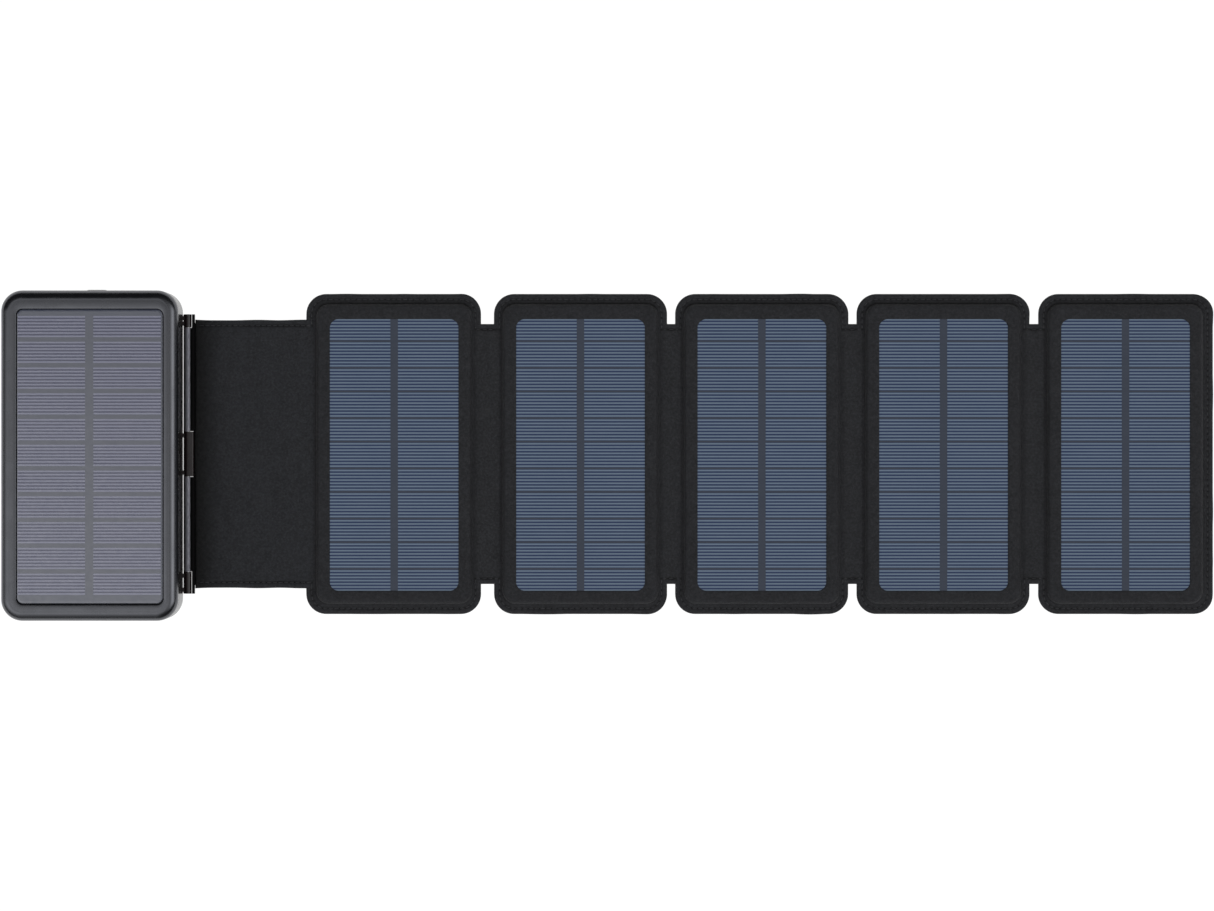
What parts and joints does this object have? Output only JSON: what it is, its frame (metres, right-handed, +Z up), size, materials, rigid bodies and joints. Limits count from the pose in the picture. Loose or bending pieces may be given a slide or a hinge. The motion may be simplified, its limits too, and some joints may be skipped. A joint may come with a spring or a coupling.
{
  "type": "solar phone charger",
  "caption": "Folding solar phone charger: a power bank with its own solar panel, a hinged fabric flap and a chain of fabric-covered solar panels that folds up in an accordion.",
  "frame": {"origin": "centre of the open charger's footprint, on the surface it lies on", "axes": "+X from the power bank to the last folding panel, +Y to the end of the bank with the sockets and the power button, +Z up, out of the solar side"},
  "size_m": [0.5652, 0.1538, 0.024],
  "materials": {
    "gloss_black_shell": "gloss",
    "grey_bezel": "satin",
    "seal_rubber": "matt",
    "bank_pv_sheet": "satin",
    "bank_cells": "satin",
    "pouch_foil": "satin",
    "foam": "matt",
    "lead_metal": "satin",
    "circuit_board": "satin",
    "chip_black": "matt",
    "screw_steel": "satin",
    "socket_steel": "satin",
    "white_plastic": "satin",
    "button_black": "satin",
    "light_pipe_clear": "gloss",
    "screw_black": "satin",
    "hinge_black": "satin",
    "satin_grey": "satin",
    "fabric_back": "matt",
    "flap_fabric": "matt",
    "board_sheet": "matt",
    "pv_sheet": "satin",
    "panel_cells": "satin",
    "fabric_front": "matt"
  },
  "bodies": {
    "bank": {"bank_rear_shell": "gloss_black_shell", "bank_front_shell": "grey_bezel", "shell_gasket": "seal_rubber", "bank_laminate": "bank_pv_sheet", "bank_cells": "bank_cells", "battery_lower": "pouch_foil", "battery_upper": "pouch_foil", "foam_pads": "foam", "battery_leads": "lead_metal", "main_pcb": "circuit_board", "pcb_components": "chip_black", "pcb_screws": "screw_steel", "usb_shells": "socket_steel", "usb_tongues": "chip_black", "tact_switch": "chip_black", "led_light_pipe": "light_pipe_clear", "case_screws": "screw_black", "bank_panel_lead": "lead_metal", "bank_hinge_leaf": "hinge_black", "hinge_screws": "screw_steel", "hinge_pin": "screw_steel"},
    "button": {"power_button": "button_black", "switch_plunger": "white_plastic"},
    "flap": {"hinge_barrels": "satin_grey", "flap_hinge_leaf": "hinge_black", "flap_back_cover": "fabric_back", "flap_front_cover": "flap_fabric", "flap_lead": "lead_metal"},
    "panel_1": {"panel_1_back_cover": "fabric_back", "panel_1_board": "board_sheet", "panel_1_laminate": "pv_sheet", "panel_1_cells": "panel_cells", "panel_1_front_cover": "fabric_front", "panel_1_lead": "lead_metal"},
    "panel_2": {"panel_2_back_cover": "fabric_back", "panel_2_board": "board_sheet", "panel_2_laminate": "pv_sheet", "panel_2_cells": "panel_cells", "panel_2_front_cover": "fabric_front", "panel_2_lead": "lead_metal"},
    "panel_3": {"panel_3_back_cover": "fabric_back", "panel_3_board": "board_sheet", "panel_3_laminate": "pv_sheet", "panel_3_cells": "panel_cells", "panel_3_front_cover": "fabric_front", "panel_3_lead": "lead_metal"},
    "panel_4": {"panel_4_back_cover": "fabric_back", "panel_4_board": "board_sheet", "panel_4_laminate": "pv_sheet", "panel_4_cells": "panel_cells", "panel_4_front_cover": "fabric_front", "panel_4_lead": "lead_metal"},
    "panel_5": {"panel_5_back_cover": "fabric_back", "panel_5_board": "board_sheet", "panel_5_laminate": "pv_sheet", "panel_5_cells": "panel_cells", "panel_5_front_cover": "fabric_front", "panel_5_lead": "lead_metal"}
  },
  "joints": [
    {"name": "button_press", "type": "slide", "parent": "bank", "child": "button", "axis": [0, -1, 0], "range_m": [0, 0.0005], "stiffness_N_per_m": 600},
    {"name": "flap_hinge", "type": "hinge", "parent": "bank", "child": "flap", "pos_m": [-0.19805, 0.0005, 0.0032], "axis": [0, -1, 0], "range_deg": [0, 90]},
    {"name": "flap_fold", "type": "hinge", "parent": "flap", "child": "panel_1", "pos_m": [-0.14305, 0.0005, 0.00175], "axis": [0, -1, 0], "range_deg": [0, 90]},
    {"name": "fold_1_2", "type": "hinge", "parent": "panel_1", "child": "panel_2", "pos_m": [-0.05655, 0.0005, 0.00415], "axis": [0, -1, 0], "range_deg": [0, 179.5]},
    {"name": "fold_2_3", "type": "hinge", "parent": "panel_2", "child": "panel_3", "pos_m": [0.0284, 0.0005, -0.00015], "axis": [0, -1, 0], "range_deg": [-179.5, 0]},
    {"name": "fold_3_4", "type": "hinge", "parent": "panel_3", "child": "panel_4", "pos_m": [0.11345, 0.0005, 0.00415], "axis": [0, -1, 0], "range_deg": [0, 179.5]},
    {"name": "fold_4_5", "type": "hinge", "parent": "panel_4", "child": "panel_5", "pos_m": [0.1986, 0.0005, -0.00015], "axis": [0, -1, 0], "range_deg": [-179.5, 0]}
  ],
  "couplings": [
    {"joint": "fold_2_3", "follows": "fold_1_2", "ratio": -1},
    {"joint": "fold_3_4", "follows": "fold_1_2", "ratio": 1},
    {"joint": "fold_4_5", "follows": "fold_1_2", "ratio": -1}
  ]
}
